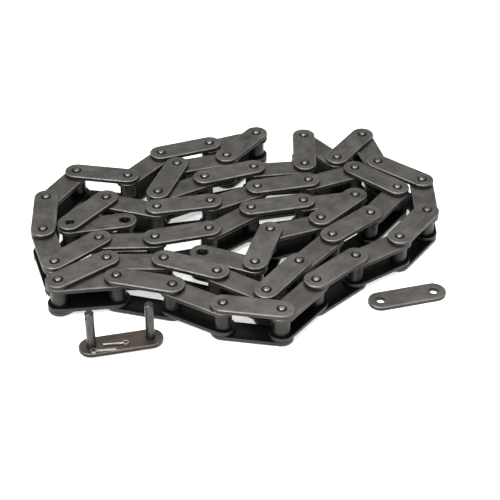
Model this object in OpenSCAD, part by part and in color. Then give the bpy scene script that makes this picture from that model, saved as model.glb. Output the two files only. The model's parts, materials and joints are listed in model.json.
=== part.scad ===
// Double-pitch roller chain, laid down in a loose coil on its side, with its cottered connecting
// link, the cover plate and two cotter pins lying beside it. Millimetres, +Z up, pins upright.

/* [Chain] */
// Distance between neighbouring pin centres
pitch = 38.1; // [36:0.1:42]
// Height of the straight-sided plates, which is also the width of their round ends
plate_h = 16.8; // [14:0.1:17.2]
// Thickness of every plate
plate_t = 3; // [2.4:0.1:3.2]
// Clear width between the two plates of an inner link
inner_w = 12.57; // [10:0.01:14]
// Side clearance between an inner plate and the outer plate over it
side_gap = 0.3; // [0.2:0.05:0.5]

/* [Pins, bushes and rollers] */
// Diameter of the pins
pin_d = 5.94; // [5:0.01:6.5]
// Outer diameter of the bushes
bush_d = 8.4; // [8:0.1:9]
// Outer diameter of the rollers
roller_d = 11.9; // [10.5:0.1:12.2]
// Radial clearance of a pin in its bush
pin_play = 0.06; // [0.04:0.01:0.1]
// Radial clearance of a roller on its bush
roller_play = 0.1; // [0.06:0.01:0.15]
// Clearance between a roller's end and the plate beside it
roller_end_play = 0.25; // [0.2:0.05:0.4]
// Gap left round a pressed-in pin or bush, and under a riveted end
press_gap = 0.02; // [0.01:0.01:0.04]

/* [Riveted pin ends] */
// Height of a riveted end above its plate
rivet_h = 1.2; // [0.8:0.1:1.5]
// Diameter of a riveted end where it meets the plate
rivet_d = 6.8; // [6.4:0.1:8]
// Diameter of the small flat on top of a riveted end
rivet_flat_d = 3.2; // [2:0.1:4]
// Width of the slope round a riveted end
rivet_bevel = 0.4; // [0.2:0.1:0.6]

/* [Connecting link] */
// Length of each connecting pin above its plate
connecting_pin_l = 27.8; // [26:0.1:30]
// Diameter of a connecting pin in its own plate, which it is pressed into
connecting_seat_d = 6.3; // [6.2:0.1:6.5]
// Diameter of a connecting pin above its plate, a slip fit in a bush and in the cover plate
connecting_pin_d = 5.9; // [5:0.01:6.4]
// Chamfer at the free end of a connecting pin
pin_chamfer = 0.7; // [0.3:0.1:1]
// Diameter of the cotter hole
cotter_hole_d = 2; // [1.8:0.1:2.6]
// Distance from a pin's free end to the middle of its cotter hole
cotter_hole_in = 3.7; // [3:0.1:4.5]
// Diameter of the holes in the cover plate
cover_hole_d = 6; // [5.96:0.01:6.2]

/* [Cotter pins] */
// Width of the two legs side by side, made of half-round wire
cotter_d = 1.6; // [1.4:0.1:1.8]
// Length of the legs
cotter_l = 13; // [10:0.5:16]
// Outer diameter of the eye
cotter_eye_d = 4; // [3.6:0.1:4.6]
// Gap between the two legs
cotter_split = 0.15; // [0.1:0.05:0.3]

/* [Loose parts] */
// Direction of the connecting link, counter-clockwise from +X
connecting_turn = 14; // [8:1:20]
// Direction of the cover plate, counter-clockwise from +X
cover_turn = 16; // [10:1:22]

/* [Hidden] */
$fn = 64;

// Direction of each link, counter-clockwise from +X, beginning with an inner link: the first end
// of the chain and the hairpin it makes on the left
first_hairpin = [-168, 54, -16, 12, 29, 14, 25, -40, -124, -137, -128, -125, 149, 160, 181, -141];
// The row along the front
front_row = [8, -13, -29, -8, 53, 44, 35, 55, 90];
// The row that comes back behind it
back_row = [143, 104, -123, 129, -90, -172, -159, -149, 72, 18, 55, -157, -159, -126, 172];
// The hairpin on the left and the last end of the chain
last_hairpin = [-118, -86, -71, 45, 3, 16, 41, 14, 12, -132, -158, -106, 159];
headings = concat(first_hairpin, front_row, back_row, last_hairpin);
links = len(headings);

// Places of the connecting link's left pin and the cover plate's left hole, seen from the first
// pin centre of the chain
connecting_from_start = [-13, -111];
cover_from_start = [175.5, -60];
// Directions of the two cotter holes, turning from the front towards the left
cotter_hole_turn = [51, 80];
// Places of the two cotter pins' eyes along and across the connecting link
cotter_at = [[21.7, -3.1], [0.4, -6.1]];
// Directions of the two cotter pins, seen from the connecting link
cotter_turn = [173, -6];

// Heights of the stack, from the surface it lies on
outer_z = rivet_h;
inner_z = outer_z + plate_t + side_gap;
roller_z = inner_z + plate_t;
inner_top_z = roller_z + inner_w;
outer_top_z = inner_top_z + plate_t + side_gap;
chain_top_z = outer_top_z + plate_t + rivet_h;
bush_l = inner_w + 2 * plate_t;

// Pin centres along the chain, from its first one
path = [
    for (i = 0, at = [0, 0]; i <= links; at = at + pitch * direction(headings[min(i, links - 1)]), i = i + 1)
        at
];

// Middle of all the round plate ends, which share one radius: it becomes the origin
ends = concat(path, [for (k = [0, 1]) connecting_from_start + k * pitch * direction(connecting_turn)],
    [for (k = [0, 1]) cover_from_start + k * pitch * direction(cover_turn)]);
xs = [for (p = ends) p.x];
ys = [for (p = ends) p.y];
middle = [min(xs) + max(xs), min(ys) + max(ys)] / 2;

plate_colour = [0.36, 0.35, 0.33];
pin_colour = [0.5, 0.49, 0.47];
roller_colour = [0.25, 0.24, 0.23];
cotter_colour = [0.68, 0.68, 0.66];

function direction(turn) = [cos(turn), sin(turn)];
function numbered(i) = str(i < 10 ? "0" : "", i);

// Moves what follows onto a link that starts at a place on the path and lies along a direction
module laid(at, turn) {
    translate([at.x - middle.x, at.y - middle.y, 0]) rotate(turn) children();
}

// Moves what follows onto link i of the chain
module on_link(i) {
    laid(path[i], headings[i]) children();
}

// Straight-sided plate lying on z = 0, with a hole at each of its two centres
module plate(hole_d) {
    difference() {
        union() {
            cylinder(d = plate_h, h = plate_t);
            translate([pitch, 0, 0]) cylinder(d = plate_h, h = plate_t);
            translate([0, -plate_h / 2, 0]) cube([pitch, plate_h, plate_t]);
        }
        for (x = [0, pitch]) translate([x, 0, -1]) cylinder(d = hole_d, h = plate_t + 2);
    }
}

// Tube standing on z = 0
module tube(outer_d, bore_d, h) {
    difference() {
        cylinder(d = outer_d, h = h);
        translate([0, 0, -1]) cylinder(d = bore_d, h = h + 2);
    }
}

// Half outline of the lower end of a pin of diameter d, riveted under a plate on z = rivet_h
function riveted_end(d) = [
    [0, 0], [rivet_flat_d / 2, 0], [rivet_d / 2 - rivet_bevel, rivet_h * 0.45],
    [rivet_d / 2, rivet_h - press_gap], [d / 2, rivet_h - press_gap]
];

// Pin riveted at both ends, with its middle at z = 0 before it is lifted into the stack
module riveted_pin() {
    lower = [for (p = riveted_end(pin_d)) [p.x, p.y - chain_top_z / 2]];
    upper = [for (k = [len(lower) - 1 : -1 : 0]) [lower[k].x, -lower[k].y]];
    translate([0, 0, chain_top_z / 2]) rotate_extrude() polygon(concat(lower, upper));
}

// Half outline of a pin's free upper end: it is chamfered, and its tip is at height top
function free_end(d, top) = [[d / 2, top - pin_chamfer], [d / 2 - pin_chamfer, top], [0, top]];

// Pin riveted at its lower end only, and free at height top
module headless_pin(top) {
    rotate_extrude() polygon(concat(riveted_end(pin_d), free_end(pin_d, top)));
}

// Outer link i: two outer plates pressed onto two pins. With open_start, its first pin stops
// under the upper plate, whose hole stays open.
module outer_link(i, open_start = false) {
    on_link(i) color(plate_colour) {
        for (z = [outer_z, outer_top_z]) translate([0, 0, z]) plate(pin_d + 2 * press_gap);
    }
    on_link(i) color(pin_colour) {
        if (open_start) headless_pin(inner_top_z + plate_t); else riveted_pin();
        translate([pitch, 0, 0]) riveted_pin();
    }
}

// Inner link i: two inner plates pressed onto two bushes, with a free roller on each bush
module inner_link(i) {
    on_link(i) color(plate_colour) {
        for (z = [inner_z, inner_top_z]) translate([0, 0, z]) plate(bush_d + 2 * press_gap);
    }
    on_link(i) color(pin_colour) for (x = [0, pitch]) {
        translate([x, 0, inner_z]) tube(bush_d, pin_d + 2 * pin_play, bush_l);
    }
    on_link(i) color(roller_colour) for (x = [0, pitch]) {
        translate([x, 0, roller_z + roller_end_play])
            tube(roller_d, bush_d + 2 * roller_play, inner_w - 2 * roller_end_play);
    }
}

// Moves what follows onto the connecting link
module on_connecting_link() {
    laid(connecting_from_start, connecting_turn) children();
}

module connecting_plate() {
    on_connecting_link() color(plate_colour) translate([0, 0, rivet_h])
        plate(connecting_seat_d + 2 * press_gap);
}

// Connecting pin: riveted under its plate, a little thinner above it, and drilled for its cotter
module connecting_pin(hole_turn) {
    plate_top = rivet_h + plate_t;
    top = plate_top + connecting_pin_l;
    seat = riveted_end(connecting_seat_d);
    shoulder = [[connecting_seat_d / 2, plate_top], [connecting_pin_d / 2, plate_top]];
    difference() {
        rotate_extrude() polygon(concat(seat, shoulder, free_end(connecting_pin_d, top)));
        translate([0, 0, top - cotter_hole_in]) rotate([90, 0, hole_turn])
            cylinder(d = cotter_hole_d, h = 2 * pin_d, center = true);
    }
}

module connecting_pins() {
    on_connecting_link() color(pin_colour) for (k = [0, 1]) {
        translate([k * pitch, 0, 0]) connecting_pin(-cotter_hole_turn[k] - connecting_turn);
    }
}

module cover_plate() {
    laid(cover_from_start, cover_turn) color(plate_colour) plate(cover_hole_d);
}

// Cotter pin lying flat on z = 0 with its eye at the origin and its legs along +X
module cotter_pin() {
    wire_r = cotter_d / 2;
    eye_r = cotter_eye_d / 2;
    leg_r = wire_r - cotter_split / 2;
    translate([0, 0, wire_r]) {
        difference() {
            cylinder(r = eye_r, h = cotter_d, center = true);
            cylinder(r = eye_r - wire_r, h = 2 * cotter_d, center = true);
        }
        for (side = [-1, 1]) intersection() {
            translate([eye_r - wire_r / 2, 0, 0]) rotate([0, 90, 0]) cylinder(r = wire_r, h = cotter_l);
            translate([0, side > 0 ? wire_r - leg_r : -wire_r, -wire_r])
                cube([eye_r + cotter_l, leg_r, cotter_d]);
        }
    }
}

// Cotter pin k, lying on the connecting plate
module placed_cotter(k) {
    on_connecting_link() translate([cotter_at[k].x, cotter_at[k].y, rivet_h + plate_t])
        rotate(cotter_turn[k]) color(cotter_colour) cotter_pin();
}

// Link i of the chain: inner and outer links take turns
module link(i) {
    if (i % 2 == 0) inner_link(i); else outer_link(i, open_start = i == 1);
}

for (i = [0 : links - 1]) link(i);
connecting_plate();
connecting_pins();
cover_plate();
placed_cotter(0);  // cotter_pin_1
placed_cotter(1);  // cotter_pin_2
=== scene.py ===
import json
import math
import random

import bmesh
import bpy
from mathutils import Matrix, Vector


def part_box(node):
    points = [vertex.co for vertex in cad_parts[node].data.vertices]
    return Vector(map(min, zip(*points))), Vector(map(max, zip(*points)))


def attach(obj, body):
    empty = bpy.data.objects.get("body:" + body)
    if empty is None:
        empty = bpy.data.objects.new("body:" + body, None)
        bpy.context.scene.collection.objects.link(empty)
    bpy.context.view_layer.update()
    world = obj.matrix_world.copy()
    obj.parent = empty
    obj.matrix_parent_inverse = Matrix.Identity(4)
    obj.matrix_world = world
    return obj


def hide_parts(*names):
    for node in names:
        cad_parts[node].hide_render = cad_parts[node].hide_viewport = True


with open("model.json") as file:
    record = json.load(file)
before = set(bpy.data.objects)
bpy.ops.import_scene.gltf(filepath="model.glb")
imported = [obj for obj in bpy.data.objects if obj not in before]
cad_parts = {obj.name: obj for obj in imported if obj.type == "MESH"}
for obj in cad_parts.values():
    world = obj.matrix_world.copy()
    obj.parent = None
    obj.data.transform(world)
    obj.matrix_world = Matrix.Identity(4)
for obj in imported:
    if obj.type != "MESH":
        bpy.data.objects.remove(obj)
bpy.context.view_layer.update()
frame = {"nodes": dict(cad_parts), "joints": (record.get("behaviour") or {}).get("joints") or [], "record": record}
record = frame["record"]
mounts = {m["name"]: m for m in record["mounts"]}
rng = random.Random(11)

MM = 0.001
PLATE_R = 8.4
PLATE_T = 3.0
PIN_R = 2.97
BUSH_R = 4.2
BORE_R = 3.03
ROLLER_R = 5.95
EDGE = 0.5
OUTER_Z = (1.2, 23.37)
INNER_Z = (4.5, 20.07)
ROLLER_Z = (7.75, 19.82)
ARC_STEPS = 22
# Painted shade: how dark the faces looking into a link and the plates' sides are painted.
INSIDE_PAINTED_SHADE = 0.98
SIDE_PAINTED_SHADE = 0.7
PLATE, PIN, ROLLER = 0, 1, 2


# ---------------------------------------------------------------- places, all from the frame
def joint_pins():
    """Pin centres along the chain: its first free bush, every hinge in order, its last free bush."""
    hinges = sorted(
        (j for j in frame["joints"] if j["name"].startswith("pin_joint_")), key=lambda j: j["name"]
    )
    points = [mounts["end_bore_a"]["pos_m"]] + [j["pos_m"] for j in hinges]
    return [Vector(p[:2]) for p in points + [mounts["end_bore_b"]["pos_m"]]]


pins = joint_pins()
PITCH = (pins[1] - pins[0]).length / MM


def lying(node):
    """First centre and direction of a loose plate that slopes up to the right, from its box."""
    lo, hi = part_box(node)
    turn = math.asin((hi.y - lo.y - 2 * PLATE_R * MM) / (PITCH * MM))
    return Vector((lo.x + PLATE_R * MM, lo.y + PLATE_R * MM)), turn


# ---------------------------------------------------------------- mesh building, in millimetres
class Builder:
    """Collects one mesh with a wear-and-highlight value (bright edges, partly real wear and partly painted
    highlight) and a painted shade value at each vertex.
    """

    def __init__(self):
        self.bm = bmesh.new()
        self.wear_and_highlight = self.bm.verts.layers.float.new("wear_and_highlight")
        self.painted_shade = self.bm.verts.layers.float.new("painted_shade")

    def ring(self, points, z, wear_and_highlight, painted_shade=0.0):
        made = []
        for x, y in points:
            v = self.bm.verts.new((x * MM, y * MM, z * MM))
            v[self.wear_and_highlight] = wear_and_highlight
            v[self.painted_shade] = painted_shade
            made.append(v)
        return made

    def band(self, a, b, slot):
        n = len(a)
        for k in range(n):
            face = self.bm.faces.new((a[k], a[(k + 1) % n], b[(k + 1) % n], b[k]))
            face.material_index = slot

    def cap(self, rings, slot, up):
        edges = []
        for r in rings:
            n = len(r)
            edges += [
                self.bm.edges.get((r[k], r[(k + 1) % n])) or self.bm.edges.new((r[k], r[(k + 1) % n]))
                for k in range(n)
            ]
        made = bmesh.ops.triangle_fill(
            self.bm, use_beauty=True, use_dissolve=False, edges=edges, normal=(0, 0, up)
        )
        for g in made["geom"]:
            if isinstance(g, bmesh.types.BMFace):
                g.material_index = slot
                g.normal_update()
                if g.normal.z * up < 0:
                    g.normal_flip()

    def plate(self, z, hole_rs, inside=0):
        """Straight-sided plate with rounded edges. A hole radius of 0 leaves that end closed, and inside says
        which face, 1 up or -1 down, looks into the link and gets near-black painted shade."""
        rows = [
            (1.3, 0, 0), (EDGE, 0, 0.3), (0.3 * EDGE, 0.3 * EDGE, 0.5), (0, EDGE, 0.1),
            (0, EDGE + 0.45, 0.0),
        ]
        # The upper bevels get 1.6 times the bevel brightness: a painted highlight on the edges facing the light.
        upper = [(i, PLATE_T - h, min(1.0, 1.6 * w)) for i, h, w in reversed(rows)]
        # The sides get painted shade, and the face looking into the link near-black painted shade.
        side = [0.4, SIDE_PAINTED_SHADE, SIDE_PAINTED_SHADE, 0.4]
        painted_shade_rows = [INSIDE_PAINTED_SHADE * (inside < 0)] * 3 + side + [INSIDE_PAINTED_SHADE * (inside > 0)] * 3
        rings = [
            self.ring(stadium(PLATE_R - i), z + h, w * (1 - g), g)
            for (i, h, w), g in zip(rows + upper, painted_shade_rows)
        ]
        for a, b in zip(rings, rings[1:]):
            self.band(a, b, PLATE)
        lower_holes, upper_holes = [], []
        for x, r in zip((0, PITCH), hole_rs):
            if not r:
                continue
            # Hole walls get painted shade, and their rims a bright edge that is partly wear and partly painted
            # highlight.
            walls = [
                self.ring(circle(x, r + d), z + h, w, g)
                for d, h, w, g in (
                    (0.6, 0, 0, painted_shade_rows[0]), (0.25, 0, 0.4, 0), (0, 0.25, 0.2, 0.5),
                    (0, PLATE_T - 0.25, 0.2, 0.5), (0.25, PLATE_T, 0.5, 0), (0.6, PLATE_T, 0, painted_shade_rows[-1]),
                )
            ]
            for a, b in zip(walls, walls[1:]):
                self.band(b, a, PLATE)
            lower_holes.append(walls[0])
            upper_holes.append(walls[-1])
        self.cap([rings[0]] + lower_holes, PLATE, -1)
        self.cap([rings[-1]] + upper_holes, PLATE, 1)

    def lathe(self, x, profile, slot, closed=False):
        """Turned shape about an upright axis at x; profile rows are radius, height, wear and painted highlight,
        painted shade.
        """
        rings = []
        for r, z, w, g in profile:
            if r > 0:
                rings.append(self.ring(circle(x, r), z, w, g))
            else:
                v = self.bm.verts.new((x * MM, 0, z * MM))
                v[self.wear_and_highlight], v[self.painted_shade] = w, g
                rings.append([v])
        pairs = list(zip(rings, rings[1:])) + ([(rings[-1], rings[0])] if closed else [])
        for a, b in pairs:
            if len(a) == 1 or len(b) == 1:
                tip, rim = (a[0], b) if len(a) == 1 else (b[0], a)
                n = len(rim)
                for k in range(n):
                    first, second = rim[k], rim[(k + 1) % n]
                    order = (tip, second, first) if len(a) == 1 else (tip, first, second)
                    self.bm.faces.new(order).material_index = slot
            else:
                self.band(a, b, slot)

    def done(self, name):
        mesh = bpy.data.meshes.new(name)
        self.bm.to_mesh(mesh)
        self.bm.free()
        mesh.shade_smooth()
        return mesh


def stadium(r):
    """Outline of a straight-sided plate whose ends have radius r."""
    out = []
    for x, start in ((PITCH, -90), (0, 90)):
        for k in range(ARC_STEPS + 1):
            a = math.radians(start + 180 * k / ARC_STEPS)
            out.append((x + r * math.cos(a), r * math.sin(a)))
    return out


def circle(x, r, steps=40):
    return [
        (x + r * math.cos(math.tau * k / steps), r * math.sin(math.tau * k / steps))
        for k in range(steps)
    ]


def riveted_end(side):
    """Rows of a riveted pin end, from its centre outwards: a dome in a shallow groove, with a painted highlight
    ring on the dome's rim and painted shade in the groove around it.
    """
    rows = [
        (0, 1.18, 0, 0), (0.8, 1.18, 0.05, 0), (1.45, 1.1, 0.1, 0), (1.85, 0.9, 0.7, 0),
        (2.1, 0.6, 0.3, 0.4), (2.25, 0.16, 0, 1), (2.7, 0.06, 0, 1), (2.95, 0.12, 0, 1),
        (3.15, 0.16, 0, 1), (3.35, 0.1, 0, 1), (3.4, 0.0, 0, 1),
    ]
    top = OUTER_Z[1] + PLATE_T
    if side > 0:
        return [(r, top + h, w, g) for r, h, w, g in reversed(rows)]
    return [(r, OUTER_Z[0] - h, w, g) for r, h, w, g in rows]


def shank(z):
    # The shank between the plates gets painted shade.
    return (PIN_R, z, 0.1, 0.4)


def pin_profile(headless):
    """A pin riveted at both ends, or with a free chamfered tip under the upper plate."""
    inside = [shank(OUTER_Z[0]), shank(OUTER_Z[0] + 1)]
    if not headless:
        return riveted_end(-1) + inside + [shank(OUTER_Z[1] + 2)] + riveted_end(1)
    # The free tip is painted fully bright: a painted highlight on the sunk pin end.
    tip = INNER_Z[1] + PLATE_T
    return riveted_end(-1) + inside + [
        shank(tip - 1.2), (PIN_R, tip - 0.7, 0.4, 0), (PIN_R - 0.7, tip, 1, 0),
        (PIN_R - 1.1, tip, 1, 0), (0, tip, 1, 0),
    ]


def outer_mesh(name, open_start=False):
    b = Builder()
    b.plate(OUTER_Z[0], (0, 0), 1)
    b.plate(OUTER_Z[1], (PIN_R + 0.02 if open_start else 0, 0), -1)
    b.lathe(0, pin_profile(open_start), PIN)
    b.lathe(PITCH, pin_profile(False), PIN)
    return b.done(name)


def tube_profile(outer, bore, lo, hi, cut, end_painted_shade=0.0):
    """Closed outline of a tube with its edges cut back by cut. The bore gets painted shade, the end faces the
    painted shade given as the last argument, and the cut edges a bright rim that is partly wear and partly painted
    highlight.
    """
    return [
        (bore, hi - cut, 0.1, 0.6), (bore, lo + cut, 0.1, 0.6), (bore + cut, lo, 0, end_painted_shade),
        (outer - cut, lo, 0.2, end_painted_shade), (outer - 0.3 * cut, lo + 0.3 * cut, 0.8, 0),
        (outer, lo + cut, 0.4, 0), (outer, lo + 2 * cut, 0, 0), (outer, hi - 2 * cut, 0, 0),
        (outer, hi - cut, 0.4, 0), (outer - 0.3 * cut, hi - 0.3 * cut, 0.8, 0),
        (outer - cut, hi, 0.2, end_painted_shade), (bore + cut, hi, 0, end_painted_shade),
    ]


def inner_mesh(name):
    b = Builder()
    for z, inside in zip(INNER_Z, (1, -1)):
        b.plate(z, (BUSH_R + 0.02, BUSH_R + 0.02), inside)
    bush = tube_profile(BUSH_R, BORE_R, INNER_Z[0], INNER_Z[1] + PLATE_T, 0.25, 0.8)
    roller = tube_profile(ROLLER_R, BUSH_R + 0.1, *ROLLER_Z, 0.5)
    for x in (0, PITCH):
        b.lathe(x, bush, ROLLER, True)
        b.lathe(x, roller, ROLLER, True)
    return b.done(name)


def loose_plate_mesh(name, z, hole_r):
    b = Builder()
    b.plate(z, (hole_r, hole_r))
    return b.done(name)


# ---------------------------------------------------------------- materials
class Nodes:
    def __init__(self, name):
        self.mat = bpy.data.materials.new(name)
        self.mat.use_nodes = True
        self.tree = self.mat.node_tree
        self.bsdf = self.tree.nodes["Principled BSDF"]

    def add(self, kind, **sockets):
        node = self.tree.nodes.new(kind)
        for key, value in sockets.items():
            self.put(node.inputs[key.replace("_", " ")], value)
        return node

    def put(self, socket, value):
        if isinstance(value, bpy.types.NodeSocket):
            self.tree.links.new(value, socket)
        else:
            socket.default_value = value

    def math(self, op, a, b=0.0, clamp=False):
        node = self.tree.nodes.new("ShaderNodeMath")
        node.operation = op
        node.use_clamp = clamp
        self.put(node.inputs[0], a)
        self.put(node.inputs[1], b)
        return node.outputs[0]

    def noise(self, vector, scale, detail=3.0, rough=0.5):
        return self.add(
            "ShaderNodeTexNoise", Vector=vector, Scale=scale, Detail=detail, Roughness=rough
        ).outputs["Fac"]

    def span(self, value, lo, hi, to_lo=0.0, to_hi=1.0):
        node = self.add("ShaderNodeMapRange", Value=value)
        node.interpolation_type = "SMOOTHSTEP"
        for k, v in zip(("From Min", "From Max", "To Min", "To Max"), (lo, hi, to_lo, to_hi)):
            self.put(node.inputs[k], v)
        return node.outputs["Result"]

    def mix(self, fac, a, b):
        node = self.tree.nodes.new("ShaderNodeMix")
        node.data_type = "RGBA"
        self.put(node.inputs[0], fac)
        self.put(node.inputs[6], a)
        self.put(node.inputs[7], b)
        return node.outputs[2]

    def attribute(self, name, kind="GEOMETRY"):
        node = self.tree.nodes.new("ShaderNodeAttribute")
        node.attribute_name = name
        node.attribute_type = kind
        return node.outputs["Fac"]


def rgb(r, g, b):
    return (r, g, b, 1.0)


def steel(name, dark, light, bright, rough, stretch, rivet_shadow_ring=False):
    """Oiled steel: mottled colour, fine grain, bright edges that are partly wear and partly painted highlight,
    painted shade in the corners and recesses, an optional painted shadow ring around the rivet heads, rust.
    """
    n = Nodes(name)
    place = n.tree.nodes.new("ShaderNodeTexCoord").outputs["Object"]
    seed = n.attribute("seed", "OBJECT")
    shifted = n.add("ShaderNodeVectorMath")
    shifted.operation = "ADD"
    n.put(shifted.inputs[0], place)
    offset = n.tree.nodes.new("ShaderNodeCombineXYZ")
    for k, scale in enumerate((1.7, 2.9, 4.1)):
        n.put(offset.inputs[k], n.math("MULTIPLY", seed, scale))
    n.put(shifted.inputs[1], offset.outputs[0])
    where = shifted.outputs[0]
    streaked = n.add("ShaderNodeMapping", Vector=where)
    streaked.inputs["Scale"].default_value = stretch
    mottle = n.noise(where, 95.0, 4.0, 0.6)
    patch = n.noise(where, 30.0, 2.0)
    grain = n.noise(streaked.outputs[0], 900.0, 5.0, 0.65)
    speck = n.noise(where, 1700.0, 2.0)
    tone = n.math("ADD", n.math("MULTIPLY", mottle, 0.55), n.math("MULTIPLY", grain, 0.45))
    colour = n.mix(n.span(tone, 0.32, 0.68), dark, light)
    colour = n.mix(n.span(speck, 0.6, 0.75, 0.0, 0.35), colour, bright)
    dull = rgb(*(0.6 * c for c in dark[:3]))
    colour = n.mix(n.span(patch, 0.35, 0.7, 0.0, 0.3), colour, dull)
    # Painted shadow: a near-black ring on the plate around each rivet head.
    if rivet_shadow_ring:
        xyz = n.add("ShaderNodeSeparateXYZ", Vector=place).outputs
        near = n.math("ABSOLUTE", n.math("SUBTRACT", xyz[0], PITCH * MM / 2))
        along = n.math("SUBTRACT", near, PITCH * MM / 2)
        squares = [n.math("MULTIPLY", d, d) for d in (along, xyz[1])]
        reach = n.math("SQRT", n.math("ADD", *squares))
        uneven = n.math("ADD", reach, n.math("MULTIPLY", mottle, 0.0012))
        ring = n.span(uneven, 0.0037, 0.0047, 0.8, 0.0)
        colour = n.mix(ring, colour, rgb(0.02, 0.018, 0.016))
    stained = n.math("ADD", n.attribute("rust", "OBJECT"), n.math("MULTIPLY", mottle, 0.22))
    level = n.math("SUBTRACT", n.math("ADD", stained, patch), 0.92)
    rust = n.span(level, 0.0, 0.3, 0.0, 0.62)
    colour = n.mix(rust, colour, rgb(0.115, 0.062, 0.034))
    # Bright edges: partly real wear, partly painted highlight on upper bevels, rivet rims and the free pin tip.
    wear_and_highlight_mask = n.math("MULTIPLY", n.attribute("wear_and_highlight"), n.span(mottle, 0.3, 0.6, 0.35, 1.0))
    colour = n.mix(wear_and_highlight_mask, colour, bright)
    # Painted shade: near-black mixed into recesses, plate sides and the insides of links.
    colour = n.mix(n.attribute("painted_shade"), colour, rgb(0.007, 0.0065, 0.006))
    n.put(n.bsdf.inputs["Base Color"], colour)
    n.bsdf.inputs["Metallic"].default_value = 0.8
    base_rough = n.span(tone, 0.3, 0.7, rough - 0.08, rough + 0.08)
    rough_map = n.math("ADD", base_rough, n.math("MULTIPLY", rust, 0.3))
    rough_map = n.math("SUBTRACT", rough_map, n.math("MULTIPLY", wear_and_highlight_mask, 0.1), True)
    n.put(n.bsdf.inputs["Roughness"], rough_map)
    height = n.math("ADD", n.math("MULTIPLY", grain, 0.6), n.math("MULTIPLY", mottle, 0.9))
    bump = n.add("ShaderNodeBump", Height=height)
    bump.inputs["Strength"].default_value = 0.28
    bump.inputs["Distance"].default_value = 0.00012
    n.put(n.bsdf.inputs["Normal"], bump.outputs["Normal"])
    return n.mat


LENGTHWISE = (0.12, 1.0, 1.0)
UPRIGHT = (1.0, 1.0, 0.1)
EVEN = (1.0, 1.0, 1.0)
plate_mat = steel(
    "plate_steel", rgb(0.068, 0.064, 0.058), rgb(0.13, 0.122, 0.11), rgb(0.215, 0.208, 0.195), 0.45,
    LENGTHWISE, True,
)
inner_mat = steel(
    "inner_plate_steel", rgb(0.062, 0.058, 0.052), rgb(0.114, 0.107, 0.096), rgb(0.19, 0.183, 0.17),
    0.46, LENGTHWISE,
)
pin_mat = steel(
    "pin_steel", rgb(0.08, 0.077, 0.072), rgb(0.17, 0.165, 0.156), rgb(0.42, 0.41, 0.39), 0.42, UPRIGHT
)
# Rollers and bushes get a much darker steel than the plates: painted shade for where they sit between the plates.
roller_painted_shade_mat = steel(
    "roller_steel_painted_shade", rgb(0.016, 0.015, 0.014), rgb(0.045, 0.043, 0.04), rgb(0.13, 0.125, 0.12), 0.4,
    UPRIGHT,
)
stud_mat = steel(
    "stud_steel", rgb(0.03, 0.029, 0.027), rgb(0.075, 0.072, 0.068), rgb(0.3, 0.29, 0.28), 0.36, UPRIGHT
)
connecting_mat = steel(
    "connecting_steel", rgb(0.042, 0.037, 0.031), rgb(0.088, 0.079, 0.067), rgb(0.17, 0.16, 0.145),
    0.45, LENGTHWISE, True,
)
cotter_mat = steel(
    "cotter_steel", rgb(0.18, 0.176, 0.165), rgb(0.36, 0.352, 0.335), rgb(0.6, 0.59, 0.57), 0.3, EVEN
)


# ---------------------------------------------------------------- pieces
def finish_piece(obj, node, body, rust):
    """Gives a visual piece its seed and stain, and puts it in its CAD node's place."""
    obj["seed"] = rng.uniform(0.0, 10.0)
    obj["rust"] = rust
    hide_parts(node)
    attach(obj, body)


def place(name, mesh, materials, at, turn):
    """Puts a mesh, which may be shared, at a pin centre and along its link."""
    obj = bpy.data.objects.new(name, mesh)
    if not mesh.materials:
        for m in materials:
            mesh.materials.append(m)
    bpy.context.scene.collection.objects.link(obj)
    obj.matrix_world = Matrix.Translation((at.x, at.y, 0)) @ Matrix.Rotation(turn, 4, "Z")
    return obj


inner = inner_mesh("inner_link")
outer = outer_mesh("outer_link")
outer_open = outer_mesh("outer_link_open", True)
for i, (start, end) in enumerate(zip(pins, pins[1:])):
    kind = "outer" if i % 2 else "inner"
    node = f"{kind}_link_{i // 2 + 1:02d}"
    turn = math.atan2(end.y - start.y, end.x - start.x)
    if kind == "inner":
        piece = place(f"look_{node}", inner, (inner_mat, pin_mat, roller_painted_shade_mat), start, turn)
    else:
        mesh = outer_open if i == 1 else outer
        piece = place(f"look_{node}", mesh, (plate_mat, pin_mat, roller_painted_shade_mat), start, turn)
    stain = rng.uniform(0.0, 0.16)
    if rng.random() < (0.35 if kind == "inner" else 0.12):
        stain += 0.16
    finish_piece(piece, node, node, stain)

for node, body, z, hole, steel_mat, stain in (
    ("connecting_plate", "connecting_link", OUTER_Z[0], 0, connecting_mat, 0.3),
    ("cover_plate", "cover_plate", 0.0, 3.0, plate_mat, 0.1),
):
    at, turn = lying(node)
    mesh = loose_plate_mesh(f"{node}_mesh", z, hole)
    piece = place(f"look_{node}", mesh, (steel_mat,), at, turn)
    finish_piece(piece, node, body, stain)

for node, mat, rust in (
    ("connecting_pins", stud_mat, 0.1),
    ("cotter_pin_1", cotter_mat, 0.0),
    ("cotter_pin_2", cotter_mat, 0.0),
):
    obj = frame["nodes"][node]
    for s in obj.material_slots:
        s.material = mat
    obj["seed"] = rng.uniform(0.0, 10.0)
    obj["rust"] = rust


# ---------------------------------------------------------------- floor, light, camera
def area(name, at, target, size, power):
    """Soft rectangular light that faces a target."""
    data = bpy.data.lights.new(name, "AREA")
    data.shape = "RECTANGLE"
    data.size, data.size_y = size
    data.energy = power
    obj = bpy.data.objects.new(name, data)
    bpy.context.scene.collection.objects.link(obj)
    obj.location = at
    obj.rotation_mode = "QUATERNION"
    obj.rotation_quaternion = (Vector(target) - Vector(at)).to_track_quat("-Z", "Y")


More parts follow.
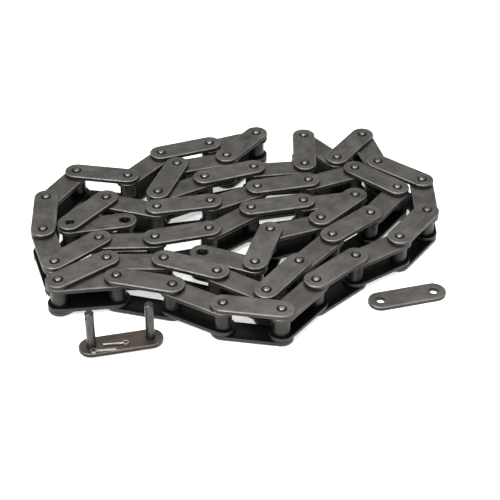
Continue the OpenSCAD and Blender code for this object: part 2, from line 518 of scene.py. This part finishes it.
floor_mesh = bpy.data.meshes.new("floor")
half = 6.0
floor_mesh.from_pydata(
    [(-half, -half, 0), (half, -half, 0), (half, half, 0), (-half, half, 0)], [], [(0, 1, 2, 3)]
)
floor = bpy.data.objects.new("floor", floor_mesh)
bpy.context.scene.collection.objects.link(floor)
floor.location.z = -0.0001
floor_nodes = Nodes("floor_white")
floor_nodes.bsdf.inputs["Base Color"].default_value = rgb(0.93, 0.93, 0.93)
floor_nodes.bsdf.inputs["Roughness"].default_value = 0.9
floor_nodes.bsdf.inputs["Specular IOR Level"].default_value = 0.1
floor_nodes.bsdf.inputs["Emission Color"].default_value = rgb(1.0, 1.0, 1.0)
floor_nodes.bsdf.inputs["Emission Strength"].default_value = 0.5
floor_mesh.materials.append(floor_nodes.mat)

world = bpy.data.worlds.new("studio")
bpy.context.scene.world = world
world.use_nodes = True
background = world.node_tree.nodes["Background"]
background.inputs["Color"].default_value = rgb(1.0, 1.0, 1.0)
background.inputs["Strength"].default_value = 0.35
area("key", (-0.5, -0.7, 1.1), (0, 0, 0), (0.8, 0.6), 24.0)
area("front", (0.5, -1.2, 0.7), (0, 0, 0.01), (0.9, 0.4), 9.0)
area("top", (0.1, 0.5, 1.4), (0, 0, 0), (1.0, 1.0), 14.0)

bpy.context.scene.view_settings.view_transform = "Standard"

CAMERA_LENS = 95.6
CAMERA_ELEVATION = math.radians(37.43)
CAMERA_DISTANCE = 0.892
CAMERA_ROLL = math.radians(0.67)
CAMERA_TARGET = Vector((0.0102, -0.0384, 0.0276))
camera_data = bpy.data.cameras.new("camera")
camera_data.lens = CAMERA_LENS
camera_data.sensor_width = 36.0
camera = bpy.data.objects.new("camera", camera_data)
bpy.context.scene.collection.objects.link(camera)
away = Vector((0, -math.cos(CAMERA_ELEVATION), math.sin(CAMERA_ELEVATION)))
camera.location = CAMERA_TARGET + away * CAMERA_DISTANCE
camera.rotation_mode = "QUATERNION"
roll = Matrix.Rotation(CAMERA_ROLL, 3, "Z").to_quaternion()
camera.rotation_quaternion = (-away).to_track_quat("-Z", "Y") @ roll
bpy.context.scene.camera = camera
